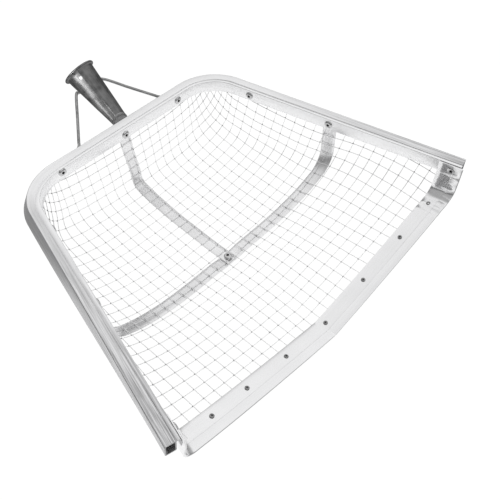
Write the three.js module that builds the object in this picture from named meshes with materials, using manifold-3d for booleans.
// Scoop-type leaf skimmer net: a U-shaped rectangular-tube rim, a basket clamped behind
// a flat band, a folded front lip, two straps below, a tapered pole socket and a bent brace rod.
// Millimetres, +Z up. X runs across the scoop (+X is right), the socket points to the rear (+Y)
// and the open lip faces the front (-Y). Dimensions are laid out with Z = 0 on the top of the
// rim; the last lines centre the part in X and Y and put its lowest point at Z = 0.
import * as THREE from 'three';
import { mergeVertices } from 'three/addons/utils/BufferGeometryUtils.js';
import Module from 'manifold-3d';

const wasm = await Module();
wasm.setup();

const { clamp, degToRad } = THREE.MathUtils;
const vec = (x, y, z) => new THREE.Vector3(x, y, z);

// ---------------------------------------------------------------- dimensions
const GAP = 0.3;               // clearance between neighbouring parts

// Rim outline, on the outer face of the tube
const BACK_HALF = 136.74;      // half width where the arm and back lines meet
const BACK_Y = 170.04;         // outer face of the back rail
const FRONT_Y = -144.68;       // outer front corner of each arm
const SPLAY = degToRad(13.04); // each arm opens outwards towards the front
const SPLAY_SIN = Math.sin(SPLAY), SPLAY_COS = Math.cos(SPLAY), SPLAY_TAN = Math.tan(SPLAY);
const CORNER_R = 57;           // outer radius of the two rear corners
const CORNER_STEPS = 9;
const CORNER_Y = BACK_Y - CORNER_R;
const CORNER_X = BACK_HALF + CORNER_R * SPLAY_TAN - CORNER_R / SPLAY_COS;

// Rim tube and clamp band; IN and OFF values are plan distances inward from the outline
const TUBE_W = 9.5, TUBE_H = 15.9, TUBE_T = 1.2;
const BAND_IN = 12.8, BAND_T = 1.5, BAND_H = 14;
const BAND_TOP = -0.2;
const FLANGE_IN = 9.85, FLANGE_T = 0.9;
const OPEN_END = 3;            // the hollowing tools run this far past the arm ends

// Basket
const MESH_OFF = 11.9, MESH_T = 1.2, MESH_TOP = -1.6;
const FOLD_RUN = 16;           // plan distance from the wall top to the fold, the floor's edge
const FOLD_OFF = MESH_OFF + FOLD_RUN;
const FOLD_R = CORNER_R - FOLD_OFF;
const FOLD_BACK_Y = BACK_Y - FOLD_OFF;
const FOLD_ARC_Y = CORNER_Y + FOLD_R * SPLAY_SIN;   // where the side fold meets its rear arc
const WALL_ANGLE = degToRad(87);
const WALL_KNEE = -17;         // above this height the wall is clamped behind the band
const WALL_ARC_STEPS = 5, WALL_FLAT_STEPS = 3;
const SLOPE_RUN = 3;           // distance over which the floor slope is taken

// Front lip
const LIP_IN_Y = -125.3, LIP_W = 25.2, LIP_T = 1, LIP_TOP = -1.2;
const LIP_FRONT_Y = LIP_IN_Y - LIP_W;
const HEM_W = 9.5, HEM_T = 1.2;
const LIP_RISE = 1.5;          // height above the basket floor
const BAND_SEAT = BAND_IN + BAND_T + GAP;
const LIP_OFF = BAND_SEAT + LIP_T / 2;   // the upright ends stand inside the band
const LIP_SEAT = LIP_OFF + LIP_T / 2 + GAP;

// Straps below the basket
const STRAP_T = 1.1, STRAP_OFF = 1.65, STRAP_TOP = -2.2;
const CROSS_Y = 3, CROSS_W = 16;
const CROSS_BOW = 4.8;         // the floor part curves this far forward towards its ends
const CROSS_RETURN = 1.6;      // and the ends come back this far as they climb the walls
const CROSS_DIP = STRAP_OFF + STRAP_T + 0.45;       // mid-surface depth where the straps cross
const LONG_W = 14.3;
const LONG_EXTRA = 7;          // runs this far past the fold, then bends up sharply

// Socket: right of the middle at its foot, leaning left towards its mouth
const SOCKET_FOOT = vec(4, 170.6, -2.2), SOCKET_MOUTH = vec(-0.5, 226.4, 38.8);
const SOCKET_MOUTH_R = 16.65, SOCKET_FOOT_R = 9.6, SOCKET_BEAD_R = 19.05, SOCKET_T = 1.2;
const SOCKET_FLAT = 0.66;      // height to width at the foot, which is oval
const SOCKET_EXTRA = 12;       // length past the foot, before trimming
const SOCKET_HOLE_STATION = 10;

// Brace rod
const ROD_R = 1.6;
const ROD_FEET_X = [-52.5, 62.5];
const ROD_STATION = 16;        // distance of the loop from the socket mouth

// Rivets: formed sizes, and radii of the holes
const LARGE_RIVET = { headR: 4.6, headH: 1.7, shankR: 2.35, bulbR: 3.3, segments: 12 };
const SMALL_RIVET = { headR: 2.6, headH: 0.9, shankR: 1.55, bulbR: 2.3, segments: 10 };
const RIVET_HOLE_R = 2.7, LIP_HOLE_R = 1.9;
const RIM_RIVET_Z = -7.5;

// ------------------------------------------------------------------ materials
const metal = ({ color, roughness }) =>
  new THREE.MeshStandardMaterial({ color, roughness, metalness: 0.9 });
const materials = {
  tube: metal({ color: 0xd9dbdc, roughness: 0.34 }),
  band: metal({ color: 0xe4e6e7, roughness: 0.3 }),
  basket: metal({ color: 0xb9bcbe, roughness: 0.4 }),
  strap: metal({ color: 0xc6c9ca, roughness: 0.36 }),
  lip: metal({ color: 0xdcdedf, roughness: 0.3 }),
  socket: metal({ color: 0x55585b, roughness: 0.5 }),
  rod: metal({ color: 0x707376, roughness: 0.42 }),
  rivet: metal({ color: 0xb4b7b9, roughness: 0.38 }),
  lipRivet: metal({ color: 0x9a9d9f, roughness: 0.45 }),
};

// -------------------------------------------------------------- solid helpers
function toManifold(geometry) {
  const bare = geometry.clone();
  bare.deleteAttribute('normal');
  bare.deleteAttribute('uv');
  const merged = mergeVertices(bare, 1e-4);
  return new wasm.Manifold(new wasm.Mesh({
    numProp: 3,
    vertProperties: new Float32Array(merged.attributes.position.array),
    triVerts: new Uint32Array(merged.index.array),
  }));
}

function fromManifold(solid) {
  const mesh = solid.getMesh();
  const positions = new Float32Array(mesh.vertProperties);
  const geometry = new THREE.BufferGeometry();
  geometry.setAttribute('position', new THREE.BufferAttribute(positions, 3));
  geometry.setIndex(new THREE.BufferAttribute(new Uint32Array(mesh.triVerts), 1));
  geometry.computeVertexNormals();
  return geometry;
}

function cut(geometry, tools) {
  let solid = toManifold(geometry);
  for (const tool of tools) solid = solid.subtract(toManifold(tool));
  return fromManifold(solid);
}

function cylinderBetween(start, end, radius, segments = 12) {
  const span = end.clone().sub(start);
  const geometry = new THREE.CylinderGeometry(radius, radius, span.length(), segments, 1);
  const turn = new THREE.Quaternion().setFromUnitVectors(vec(0, 1, 0), span.normalize());
  geometry.applyQuaternion(turn);
  geometry.translate(...start.clone().add(end).divideScalar(2).toArray());
  return geometry;
}

const pointAlong = (origin, direction, distance) =>
  origin.clone().addScaledVector(direction, distance);

// Cylinder along a direction, from one distance to another, measured from the origin point.
const cylinderAlong = (origin, direction, from, to, radius, segments) => cylinderBetween(
  pointAlong(origin, direction, from), pointAlong(origin, direction, to), radius, segments);

// Quads of a grid stored row by row.
function gridQuads(rowCount, columnCount, flipped = false) {
  const quads = [];
  for (let j = 0; j < rowCount - 1; j++) {
    for (let i = 0; i < columnCount - 1; i++) {
      const a = j * columnCount + i, b = a + 1;
      const d = a + columnCount, c = d + 1;
      quads.push(flipped ? [a, d, c, b] : [a, b, c, d]);
    }
  }
  return quads;
}

// Sheet-metal body: mid-surface quads thickened along the vertex normals.
// upAt and downAt give the distance of each face from the mid-surface at a vertex.
function sheet(points, quads, upAt, downAt) {
  const count = points.length;
  const normals = points.map(() => vec(0, 0, 0));
  for (const quad of quads) {
    const [a, b, c, d] = quad.map((k) => points[k]);
    const quadNormal = c.clone().sub(a).cross(d.clone().sub(b));
    for (const k of quad) normals[k].add(quadNormal);
  }
  normals.forEach((normal) => normal.normalize());

  const upper = points.map((p, k) => pointAlong(p, normals[k], upAt(k)));
  const lower = points.map((p, k) => pointAlong(p, normals[k], -downAt(k)));
  const positions = [...upper, ...lower].flatMap((p) => p.toArray());

  const index = [];
  const openEdges = new Map();
  for (const [a, b, c, d] of quads) {
    index.push(a, b, c, a, c, d);
    index.push(count + a, count + c, count + b, count + a, count + d, count + c);
    for (const [p, q] of [[a, b], [b, c], [c, d], [d, a]]) {
      if (!openEdges.delete(q + '_' + p)) openEdges.set(p + '_' + q, [p, q]);
    }
  }
  for (const [p, q] of openEdges.values()) index.push(p, count + p, count + q, p, count + q, q);

  const geometry = new THREE.BufferGeometry();
  geometry.setAttribute('position', new THREE.Float32BufferAttribute(positions, 3));
  geometry.setIndex(index);
  return geometry;
}

// ------------------------------------------------------------------- rim ring
const armX = (y) => BACK_HALF + (BACK_Y - y) * SPLAY_TAN;

// Plan line at an inward offset from the outline: left arm, rear, right arm.
function railLine(offset, extend) {
  const radius = CORNER_R - offset;
  const right = [[
    armX(FRONT_Y) - SPLAY_COS * offset + SPLAY_SIN * extend,
    FRONT_Y - SPLAY_SIN * offset - SPLAY_COS * extend,
  ]];
  for (let i = 0; i <= CORNER_STEPS; i++) {
    const angle = SPLAY + (Math.PI / 2 - SPLAY) * i / CORNER_STEPS;
    right.push([CORNER_X + radius * Math.cos(angle), CORNER_Y + radius * Math.sin(angle)]);
  }
  return [...right.map(([x, y]) => [-x, y]), ...right.reverse()];
}

function ringSolid(outerOffset, innerOffset, bottom, top, extend = 0) {
  const outline = [
    ...railLine(outerOffset, extend),
    ...railLine(innerOffset, extend).reverse(),
  ];
  const shape = new THREE.Shape(outline.map(([x, y]) => new THREE.Vector2(x, y)));
  const geometry = new THREE.ExtrudeGeometry(shape, {
    depth: top - bottom,
    bevelEnabled: false,
    steps: 1,
  });
  geometry.translate(0, 0, bottom);
  return geometry;
}

// ------------------------------------------------------------ basket surface
// Centre line of the floor: [y, depth below the rim top]. It spans every y of the floor.
const SPINE = [
  [-140, 95], [-125, 95], [-100, 94], [-60, 93], [-38, 93.6], [-12, 96.3], [3, 98.5],
  [25, 100.2], [60, 100], [90, 99.2], [113, 96.4], [127, 94.6], [146, 90],
];
const FRONT_DEPTH = SPINE[0][1];

// Smooth cubic through the spine stations.
function spineDepth(y) {
  let i = 0;
  while (y > SPINE[i + 1][0]) i++;
  const [startY, startDepth] = SPINE[i], [endY, endDepth] = SPINE[i + 1];
  const slopeAt = (k) => {
    const before = SPINE[Math.max(k - 1, 0)], after = SPINE[Math.min(k + 1, SPINE.length - 1)];
    return (after[1] - before[1]) / (after[0] - before[0]);
  };
  const span = endY - startY;
  const t = (y - startY) / span, t2 = t * t, t3 = t2 * t;
  return (2 * t3 - 3 * t2 + 1) * startDepth + (t3 - 2 * t2 + t) * span * slopeAt(i)
    + (-2 * t3 + 3 * t2) * endDepth + (t3 - t2) * span * slopeAt(i + 1);
}

// Cross sections: a vee at the front, blending into a rounded bowl by y = 0.
const VEE_FULL_Y = -125;
const veeRise = (x) => 0.21 * Math.abs(x) + 0.00028 * x * x;
const bowlRise = (x) => 12 * (x / 150) ** 2 + 18 * (x / 150) ** 4;
function floorZ(x, y) {
  const vee = Math.pow(clamp(y / VEE_FULL_Y, 0, 1), 1.3);
  return -spineDepth(y) + (1 - vee) * bowlRise(x) + vee * veeRise(x);
}
const floorPoint = (x, y) => vec(x, y, floorZ(x, y));

function foldHalfWidth(y) {
  if (y <= FOLD_ARC_Y) return armX(y) - FOLD_OFF / SPLAY_COS;
  return CORNER_X + Math.sqrt(FOLD_R ** 2 - (y - CORNER_Y) ** 2);
}

// Outward plan normal at a point of the fold.
function foldNormal(x, y) {
  const side = Math.sign(x);
  if (y <= FOLD_ARC_Y + 1e-6) return [side * SPLAY_COS, SPLAY_SIN];
  if (Math.abs(x) <= CORNER_X + 1e-6) return [0, 1];
  const dx = Math.abs(x) - CORNER_X, dy = y - CORNER_Y;
  const length = Math.hypot(dx, dy);
  return [side * dx / length, dy / length];
}

const slopeOut = ([x, y], [nx, ny]) =>
  (floorZ(x, y) - floorZ(x - SLOPE_RUN * nx, y - SLOPE_RUN * ny)) / SLOPE_RUN;

// Wall points above the plan point `foot`: an arc tangent to the floor slope, a straight
// part up to the knee, then the top edge. `normal` points outward, `run` is the plan width.
function wallColumn({
  foot, normal, footZ, slope, topZ,
  run = FOLD_RUN, arcSteps = WALL_ARC_STEPS, flatSteps = WALL_FLAT_STEPS,
}) {
  const startAngle = Math.atan(slope);
  const startSin = Math.sin(startAngle), startCos = Math.cos(startAngle);
  const endSin = Math.sin(WALL_ANGLE), endCos = Math.cos(WALL_ANGLE);
  // Repeated substitution finds the arc radius that makes the wall reach `run` at the knee.
  let radius = 15;
  for (let k = 0; k < 20; k++) {
    const straight = (WALL_KNEE - footZ - radius * (startCos - endCos)) / endSin;
    radius = (run - straight * endCos) / (endSin - startSin);
  }

  const profile = [];   // [distance out from the foot, z]
  for (let i = 1; i <= arcSteps; i++) {
    const angle = startAngle + (WALL_ANGLE - startAngle) * i / arcSteps;
    profile.push([
      radius * (Math.sin(angle) - startSin),
      footZ + radius * (startCos - Math.cos(angle)),
    ]);
  }
  const [arcOut, arcZ] = profile[profile.length - 1];
  for (let i = 1; i < flatSteps; i++) {
    const t = i / (flatSteps - 1);
    profile.push([arcOut + (run - arcOut) * t, arcZ + (WALL_KNEE - arcZ) * t]);
  }
  profile.push([run, topZ]);
  return profile.map(([out, z]) => vec(foot[0] + normal[0] * out, foot[1] + normal[1] * out, z));
}

// -------------------------------------------------------------------- basket
const FLOOR_COLUMNS = 18, FLOOR_ARC_STEPS = 6;
const FLOOR_ROWS_Y = [-123.5, -100, -75, -50, -25, -9, 3, 15, 35, 55, 75, 98];
// The front edge bends forward near its two ends; u runs from -1 to 1 across the floor.
const basketFrontY = (u) => -136 - 3.2 * clamp((Math.abs(u) - 0.8) / 0.2, 0, 1);

// Floor grid plus a wall along the left side, the rear and the right side.
function basketGeometry() {
  const rowsY = [...FLOOR_ROWS_Y];
  for (let i = 0; i <= FLOOR_ARC_STEPS; i++) {
    const angle = SPLAY + (Math.PI / 2 - SPLAY) * i / FLOOR_ARC_STEPS;
    rowsY.push(CORNER_Y + FOLD_R * Math.sin(angle));
  }
  const rows = [basketFrontY, ...rowsY.map((y) => () => y)];
  const lastRow = rows.length - 1;

  const points = [];
  rows.forEach((rowY, j) => {
    for (let i = 0; i <= FLOOR_COLUMNS; i++) {
      const u = -1 + 2 * i / FLOOR_COLUMNS, y = rowY(u);
      const halfWidth = j === lastRow ? CORNER_X : foldHalfWidth(y);
      points.push(floorPoint(u * halfWidth, y));
    }
  });
  const quads = gridQuads(rows.length, FLOOR_COLUMNS + 1);

  const gridIndex = (j, i) => j * (FLOOR_COLUMNS + 1) + i;
  const fold = [];
  for (let j = 0; j <= lastRow; j++) fold.push(gridIndex(j, 0));
  for (let i = 1; i < FLOOR_COLUMNS; i++) fold.push(gridIndex(lastRow, i));
  for (let j = lastRow; j >= 0; j--) fold.push(gridIndex(j, FLOOR_COLUMNS));

  const columns = fold.map((footIndex) => {
    const { x, y, z } = points[footIndex];
    const foot = [x, y], normal = foldNormal(x, y), slope = slopeOut(foot, normal);
    const wall = wallColumn({ foot, normal, footZ: z, slope, topZ: MESH_TOP });
    return [footIndex, ...wall.map((p) => points.push(p) - 1)];
  });
  for (let c = 0; c < columns.length - 1; c++) {
    const here = columns[c], next = columns[c + 1];
    for (let k = 0; k < here.length - 1; k++) {
      quads.push([here[k], next[k], next[k + 1], here[k + 1]]);
    }
  }
  return sheet(points, quads, () => MESH_T / 2, () => MESH_T / 2);
}

// -------------------------------------------------------------------- straps
// Strip below the basket: lines lie on the basket surface, offsetAt(i) is the distance
// of the strip's mid-surface below it at point i of each line.
function stripGeometry(lines, offsetAt) {
  const count = lines[0].length;
  return sheet(
    lines.flat(),
    gridQuads(lines.length, count),
    (k) => -offsetAt(k % count) + STRAP_T / 2,
    (k) => offsetAt(k % count) + STRAP_T / 2,
  );
}

// Side wall points that lie at plan height yAt(step), instead of square to the arm.
function wallColumnAtY(yAt, side) {
  const columnFrom = (footY) => {
    const halfWidth = foldHalfWidth(footY);
    const foot = [side * halfWidth, footY], normal = [side * SPLAY_COS, SPLAY_SIN];
    const footZ = floorZ(halfWidth, footY), slope = slopeOut(foot, normal);
    return wallColumn({ foot, normal, footZ, slope, topZ: STRAP_TOP });
  };
  return columnFrom(yAt(0)).map((p, step) => columnFrom(yAt(step) - (p.y - yAt(0)))[step]);
}

// Stations on the left half of the floor: fractions of the half width, then fixed x.
const CROSS_FRACTIONS = [-0.86, -0.72, -0.58, -0.44, -0.3];
const CROSS_MIDDLE_X = [-26, -15, -8.6];
const CROSS_RETURN_STEPS = 6;

function crossLine(y) {
  const endY = y - CROSS_BOW;
  const halfWidth = foldHalfWidth(endY);
  const left = [-halfWidth, ...CROSS_FRACTIONS.map((t) => t * halfWidth), ...CROSS_MIDDLE_X];
  const right = left.map((x) => -x).reverse();
  const floor = [...left, 0, ...right].map((x) =>
    floorPoint(x, y - CROSS_BOW * Math.pow(Math.abs(x) / halfWidth, 1.5)));
  const wallY = (step) => endY + CROSS_RETURN * Math.min(1, (step + 1) / CROSS_RETURN_STEPS);
  return [...wallColumnAtY(wallY, -1).reverse(), ...floor, ...wallColumnAtY(wallY, 1)];
}

// Runs from arm to arm, dipped in the middle to pass below the lengthwise strap.
function crossStrapGeometry() {
  const lines = [-CROSS_W / 2, 0, CROSS_W / 2].map((dy) => crossLine(CROSS_Y + dy));
  const middle = (lines[0].length - 1) / 2;
  const offsetAt = (i) => {
    const steps = Math.abs(i - middle);
    if (steps <= 1) return CROSS_DIP;
    return steps === 2 ? STRAP_OFF + 0.2 : STRAP_OFF;
  };
  return stripGeometry(lines, offsetAt);
}

// Stations along the floor, from the strap's front end to the rear fold.
const LONG_STATIONS_Y = [-3.6, 3, 15, 25, 35, 45, 60, 75, 90, 103, 116, 129, FOLD_BACK_Y];

function longLine(x) {
  const normal = [0, 1];
  const slope = slopeOut([x, FOLD_BACK_Y], normal);
  const bendY = FOLD_BACK_Y + LONG_EXTRA;
  const bendZ = floorZ(x, FOLD_BACK_Y) + slope * LONG_EXTRA;
  const wall = wallColumn({
    foot: [x, bendY], normal, footZ: bendZ, slope, topZ: STRAP_TOP, run: FOLD_RUN - LONG_EXTRA,
  });
  return [...LONG_STATIONS_Y.map((y) => floorPoint(x, y)), vec(x, bendY, bendZ), ...wall];
}

// Runs from the rear rail to the middle, on top of the dipped part of the cross strap.
const longStrapGeometry = () =>
  stripGeometry([LONG_W / 2, 0, -LONG_W / 2].map(longLine), () => STRAP_OFF);

// ----------------------------------------------------------------- front lip
const lipZ = (x) => -FRONT_DEPTH + LIP_RISE + veeRise(x);
const LIP_FLOOR_STEPS = 8;     // per half

// Vee across the floor, turning up beside each arm.
function lipLine(y) {
  const halfWidth = foldHalfWidth(y);
  const floor = [];
  for (let i = -LIP_FLOOR_STEPS; i <= LIP_FLOOR_STEPS; i++) {
    const x = halfWidth * i / LIP_FLOOR_STEPS;
    floor.push(vec(x, y, lipZ(x)));
  }
  const wall = (side) => wallColumn({
    foot: [side * halfWidth, y],
    normal: [side * SPLAY_COS, SPLAY_SIN],
    footZ: lipZ(halfWidth),
    slope: (lipZ(halfWidth) - lipZ(halfWidth - SLOPE_RUN)) / SLOPE_RUN,
    topZ: LIP_TOP,
    run: FOLD_OFF - LIP_OFF,
    arcSteps: 6,
    flatSteps: 2,
  });
  // The walls drift towards +y; sliding them along the arm keeps the edge straight in plan.
  return [...wall(-1).reverse(), ...floor, ...wall(1)].map((p) =>
    vec(p.x - Math.sign(p.x) * (y - p.y) * SPLAY_TAN, y, p.z));
}

// Rows run towards the front; the hem doubles the upper face beyond a small step.
function lipGeometry() {
  const hemY = LIP_FRONT_Y + HEM_W, face = LIP_T / 2, hemFace = face + HEM_T;
  const rows = [
    { y: LIP_IN_Y, up: face, down: face },
    { y: hemY + 0.15, up: face, down: face },
    { y: hemY - 0.15, up: hemFace, down: face },
    { y: LIP_FRONT_Y + 0.5, up: hemFace, down: face },
    { y: LIP_FRONT_Y, up: hemFace - 0.45, down: 0.1 },
  ];
  const lines = rows.map(({ y }) => lipLine(y));
  const count = lines[0].length;
  const rowOf = (k) => rows[Math.floor(k / count)];
  // Flipped quads keep the upper face on the inside of the scoop.
  const quads = gridQuads(rows.length, count, true);
  return sheet(lines.flat(), quads, (k) => rowOf(k).up, (k) => rowOf(k).down);
}

// Narrow slit across the hem at the crease of the vee.
function hemSlit() {
  const margin = 0.6, length = HEM_W + margin, centreZ = -92;
  const slit = new THREE.BoxGeometry(1.1, length, 12);
  slit.translate(0, LIP_FRONT_Y + length / 2 - margin, centreZ);
  return slit;
}

// ------------------------------------------------------------------- rivets
// Blind rivet along local +Z: seat at z = 0, head above, shank and formed bulb below.
function rivetGeometry({ headR, headH, shankR, bulbR, segments, grip, bulbH }) {
  const profile = [   // [radius, z], from the tip of the bulb to the dished head
    [0, -grip - bulbH], [bulbR * 0.8, -grip - bulbH], [bulbR, -grip - 0.1],
    [shankR, -grip], [shankR, 0],
    [headR, 0], [headR, headH * 0.3], [headR * 0.72, headH * 0.86], [headR * 0.33, headH],
    [headR * 0.27, headH * 0.35], [0, headH * 0.35],
  ];
  const points = profile.map(([radius, z]) => new THREE.Vector2(radius, z));
  const geometry = new THREE.LatheGeometry(points, segments);
  geometry.rotateX(Math.PI / 2);
  return geometry;
}

// Rim rivets: a spot is a point on the outer rim face, the inward direction, and the
// distance inward to the seat of the head.
const rearSpot = (x) =>
  ({ outer: vec(x, BACK_Y, RIM_RIVET_Z), inward: vec(0, -1, 0), seat: BAND_SEAT });
const armSpot = (y, side, seat = BAND_SEAT) => ({
  outer: vec(side * armX(y), y, RIM_RIVET_Z),
  inward: vec(-side * SPLAY_COS, -SPLAY_SIN, 0),
  seat,
});
const STRAP_RIVET_Y = CROSS_Y - CROSS_BOW + CROSS_RETURN + SPLAY_SIN * 14.5;
const FRONT_RIVET_Y = -132.3, CORNER_RIVET_Y = 103;
const rimRivets = {
  rear_center: rearSpot(0),
  rear_right: rearSpot(76),
  rear_left: rearSpot(-85),
  corner_right: armSpot(CORNER_RIVET_Y, 1),
  corner_left: armSpot(CORNER_RIVET_Y, -1),
  strap_right: armSpot(STRAP_RIVET_Y, 1),
  strap_left: armSpot(STRAP_RIVET_Y, -1),
  front_right: armSpot(FRONT_RIVET_Y, 1, LIP_SEAT),
  front_left: armSpot(FRONT_RIVET_Y, -1, LIP_SEAT),
};
const rimHoles = Object.values(rimRivets).map(({ outer, inward }) =>
  cylinderAlong(outer, inward, 5, 18, RIVET_HOLE_R));

// Lip rivets, a third of the way in from the inner edge of the lip.
const LIP_RIVETS_X = [-154.2, -110.7, -56.6, 4.7, 64.8, 125.5, 174];
const LIP_RIVET_Y = LIP_IN_Y - 8.5;
const lipRivets = LIP_RIVETS_X.map((x) => ({
  centre: vec(x, LIP_RIVET_Y, lipZ(x)),
  normal: vec(veeRise(x - 0.5) - veeRise(x + 0.5), 0, 1).normalize(),
}));
const lipHoles = lipRivets.map(({ centre, normal }) =>
  cylinderAlong(centre, normal, -5, 3, LIP_HOLE_R, 10));

// Tee rivet, where the two straps cross.
const teeCentre = floorPoint(0, CROSS_Y);
const teeNormal = vec(0, (floorZ(0, CROSS_Y - 4) - floorZ(0, CROSS_Y + 4)) / 8, 1).normalize();
const teeHole = cylinderAlong(teeCentre, teeNormal, -9, 4, RIVET_HOLE_R);

// -------------------------------------------------------------------- socket
const socketLength = SOCKET_MOUTH.distanceTo(SOCKET_FOOT);
const socketAxis = SOCKET_MOUTH.clone().sub(SOCKET_FOOT).normalize();
const socketRight = socketAxis.clone().cross(vec(0, 0, 1)).normalize();
const socketTop = socketRight.clone().cross(socketAxis).normalize();

// Stations are distances from the mouth towards the foot.
const socketRadius = (station) =>
  SOCKET_MOUTH_R + (SOCKET_FOOT_R - SOCKET_MOUTH_R) * station / socketLength;
const socketFlatness = (station) =>
  1 + (SOCKET_FLAT - 1) * Math.pow(Math.max(station / socketLength, 0), 1.5);

// Point `extra` outside the cone; degrees run from the top towards +X.
function socketPoint(station, degrees, extra) {
  const angle = degToRad(degrees), radius = socketRadius(station);
  return pointAlong(SOCKET_MOUTH, socketAxis, -station)
    .addScaledVector(socketTop, Math.cos(angle) * (radius * socketFlatness(station) + extra))
    .addScaledVector(socketRight, Math.sin(angle) * (radius + extra));
}

function socketGeometry() {
  const length = socketLength + SOCKET_EXTRA, coneStart = 3.2, coneSteps = 6;
  const profile = [   // [radius, station]: rolled bead, outer cone, inner bore
    [socketRadius(0) - SOCKET_T, 0], [socketRadius(0) + 0.2, -0.9],
    [SOCKET_BEAD_R - 0.5, -0.5], [SOCKET_BEAD_R, 1.1], [SOCKET_BEAD_R - 0.5, 2.6],
    [socketRadius(coneStart), coneStart],
  ];
  for (let i = 1; i <= coneSteps; i++) {
    const station = coneStart + (length - coneStart) * i / coneSteps;
    profile.push([socketRadius(station), station]);
  }
  for (let i = coneSteps; i >= 1; i--) {
    const station = length * i / coneSteps;
    profile.push([socketRadius(station) - SOCKET_T, station]);
  }
  profile.push(profile[0]);
  const points = profile.map(([radius, station]) => new THREE.Vector2(radius, -station));
  const geometry = new THREE.LatheGeometry(points.reverse(), 24);

  const position = geometry.attributes.position;
  for (let i = 0; i < position.count; i++) {
    position.setZ(i, position.getZ(i) * socketFlatness(-position.getY(i)));
  }
  const frame = new THREE.Matrix4().makeBasis(socketRight, socketAxis, socketTop);
  geometry.applyMatrix4(frame.setPosition(SOCKET_MOUTH));
  return geometry;
}

// Radial hole near the mouth, from one distance outside the cone to another.
const socketHole = ({ degrees, from, to, radius, segments }) => cylinderBetween(
  socketPoint(SOCKET_HOLE_STATION, degrees, from),
  socketPoint(SOCKET_HOLE_STATION, degrees, to), radius, segments);

// Narrow lengthwise slot near the foot, left of the top.
function seamSlot() {
  const station = socketLength - 11, degrees = -30;
  const along = socketPoint(station - 1, degrees, 0)
    .sub(socketPoint(station + 1, degrees, 0)).normalize();
  const tangent = socketPoint(station, degrees + 4, 0)
    .sub(socketPoint(station, degrees - 4, 0)).normalize();
  const outward = tangent.cross(along).normalize();
  const across = along.clone().cross(outward);
  const frame = new THREE.Matrix4().makeBasis(across, along, outward);
  const slot = new THREE.BoxGeometry(0.9, 26, 5);
  slot.applyMatrix4(frame.setPosition(socketPoint(station, degrees, -GAP)));
  return slot;
}

// Block that trims the small end flush with the outer face of the rear rail.
function footTrim() {
  const depth = 40;
  const block = new THREE.BoxGeometry(80, depth, 80);
  block.translate(0, BACK_Y + GAP - depth / 2, 0);
  return block;
}

// ----------------------------------------------------------------- brace rod
// Each half: foot on the rail, bend, straight leg, then the loop under the socket.
function rodPath() {
  const railY = BACK_Y + ROD_R + GAP;
  const clearance = ROD_R + 0.35;
  const half = (side, footX) => {
    const legStart = vec(footX - side * 0.5, railY + 1.4, -3.6);
    const legEnd = socketPoint(ROD_STATION, side * 108, clearance + 0.5);
    return [
      vec(footX + side * 9, railY, -6),
      vec(footX + side * 3.5, railY, -5.6),
      legStart,
      ...[0.08, 0.5, 0.94].map((t) => legStart.clone().lerp(legEnd, t)),
      ...[120, 135, 150, 165].map((d) => socketPoint(ROD_STATION, side * d, clearance)),
    ];
  };
  const [leftX, rightX] = ROD_FEET_X;
  const bottom = socketPoint(ROD_STATION, 180, clearance);
  const points = [...half(-1, leftX), bottom, ...half(1, rightX).reverse()];
  return new THREE.CatmullRomCurve3(points, false, 'centripetal');
}

function rodGeometry() {
  const sides = 8, corners = [];
  for (let i = 0; i < sides; i++) {
    const angle = 2 * Math.PI * i / sides;
    corners.push(new THREE.Vector2(ROD_R * Math.cos(angle), ROD_R * Math.sin(angle)));
  }
  const section = new THREE.Shape(corners);
  section.closePath();
  return new THREE.ExtrudeGeometry(section, {
    steps: 64,
    bevelEnabled: false,
    extrudePath: rodPath(),
  });
}

// -------------------------------------------------------------------- pieces
const skimmer = new THREE.Group();

function add(name, geometry, material) {
  const mesh = new THREE.Mesh(geometry, material);
  mesh.name = name;
  skimmer.add(mesh);
  return mesh;
}

// Rivet with its seat at a point and its head facing a direction.
function addRivet(name, geometry, material, seat, direction) {
  const mesh = add(name, geometry, material);
  mesh.position.copy(seat);
  mesh.quaternion.setFromUnitVectors(vec(0, 0, 1), direction.clone().normalize());
}

// Hollow rectangular section, open at both front ends.
function addRimTube() {
  const outer = ringSolid(0, TUBE_W, -TUBE_H, 0);
  const hollow = ringSolid(TUBE_T, TUBE_W - TUBE_T, -TUBE_H + TUBE_T, -TUBE_T, OPEN_END);
  add('rim_tube', cut(outer, [hollow, ...rimHoles]), materials.tube);
}

// Band with a narrow top flange that covers the cut edge of the basket.
function addClampBand() {
  const outer = ringSolid(FLANGE_IN, BAND_IN + BAND_T, BAND_TOP - BAND_H, BAND_TOP);
  const hollow = ringSolid(FLANGE_IN - 1, BAND_IN, -BAND_H - 1, BAND_TOP - FLANGE_T, OPEN_END);
  add('clamp_band', cut(outer, [hollow, ...rimHoles]), materials.band);
}

function addBasket() {
  const holes = [...rimHoles, ...lipHoles, teeHole];
  add('mesh_basket', cut(basketGeometry(), holes), materials.basket);
}

function addStraps() {
  const holes = [...rimHoles, teeHole];
  const smallHole = cylinderBetween(vec(-0.5, 140, -18), vec(-0.5, 175, -18), 1.3, 8);
  add('cross_strap', cut(crossStrapGeometry(), holes), materials.strap);
  add('long_strap', cut(longStrapGeometry(), [...holes, smallHole]), materials.strap);
}

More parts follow.
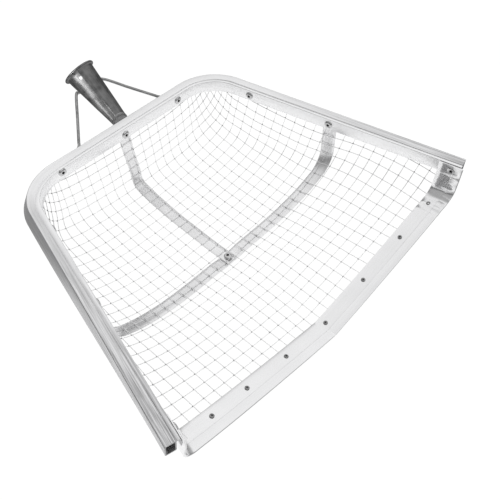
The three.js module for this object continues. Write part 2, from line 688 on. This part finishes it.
function addLip() {
  add('front_lip', cut(lipGeometry(), [hemSlit(), ...rimHoles, ...lipHoles]), materials.lip);
}

function addSocket() {
  const screwHole = socketHole({ degrees: -38, from: -8, to: 12, radius: 2.1, segments: 10 });
  const dimple = socketHole({ degrees: 10, from: -0.55, to: 12, radius: 1.5, segments: 8 });
  const tools = [footTrim(), screwHole, dimple, seamSlot()];
  add('handle_socket', cut(socketGeometry(), tools), materials.socket);
}

function addRimRivets() {
  for (const [place, { outer, inward, seat }] of Object.entries(rimRivets)) {
    const grip = seat - (TUBE_W - TUBE_T - GAP);
    const geometry = rivetGeometry({ ...LARGE_RIVET, grip, bulbH: 3 });
    const seatPoint = pointAlong(outer, inward, seat);
    addRivet('rim_rivet_' + place, geometry, materials.rivet, seatPoint, inward);
  }
}

function addTeeRivet() {
  const grip = MESH_T / 2 + GAP + CROSS_DIP + STRAP_T / 2 + GAP;
  const geometry = rivetGeometry({ ...LARGE_RIVET, grip, bulbH: 1.4 });
  const seatPoint = pointAlong(teeCentre, teeNormal, MESH_T / 2 + 0.45);
  addRivet('tee_rivet', geometry, materials.rivet, seatPoint, teeNormal);
}

function addLipRivets() {
  const seat = LIP_T / 2 + GAP;
  const grip = seat + LIP_RISE + MESH_T / 2 + 0.35;
  const geometry = rivetGeometry({ ...SMALL_RIVET, grip, bulbH: 0.9 });
  lipRivets.forEach(({ centre, normal }, i) => {
    const seatPoint = pointAlong(centre, normal, seat);
    addRivet('lip_rivet_' + (i + 1), geometry, materials.lipRivet, seatPoint, normal);
  });
}

// ------------------------------------------------------------------ assembly
addRimTube();
addClampBand();
addBasket();
addStraps();
addLip();
addSocket();
add('brace_rod', rodGeometry(), materials.rod);
addRimRivets();
addTeeRivet();
addLipRivets();

// Final frame: centred in X and Y, lowest point at Z = 0.
const bounds = new THREE.Box3().setFromObject(skimmer, true);
const middle = bounds.getCenter(vec(0, 0, 0));
const shift = vec(-middle.x, -middle.y, -bounds.min.z);
for (const mesh of skimmer.children) mesh.position.add(shift);

export default skimmer;
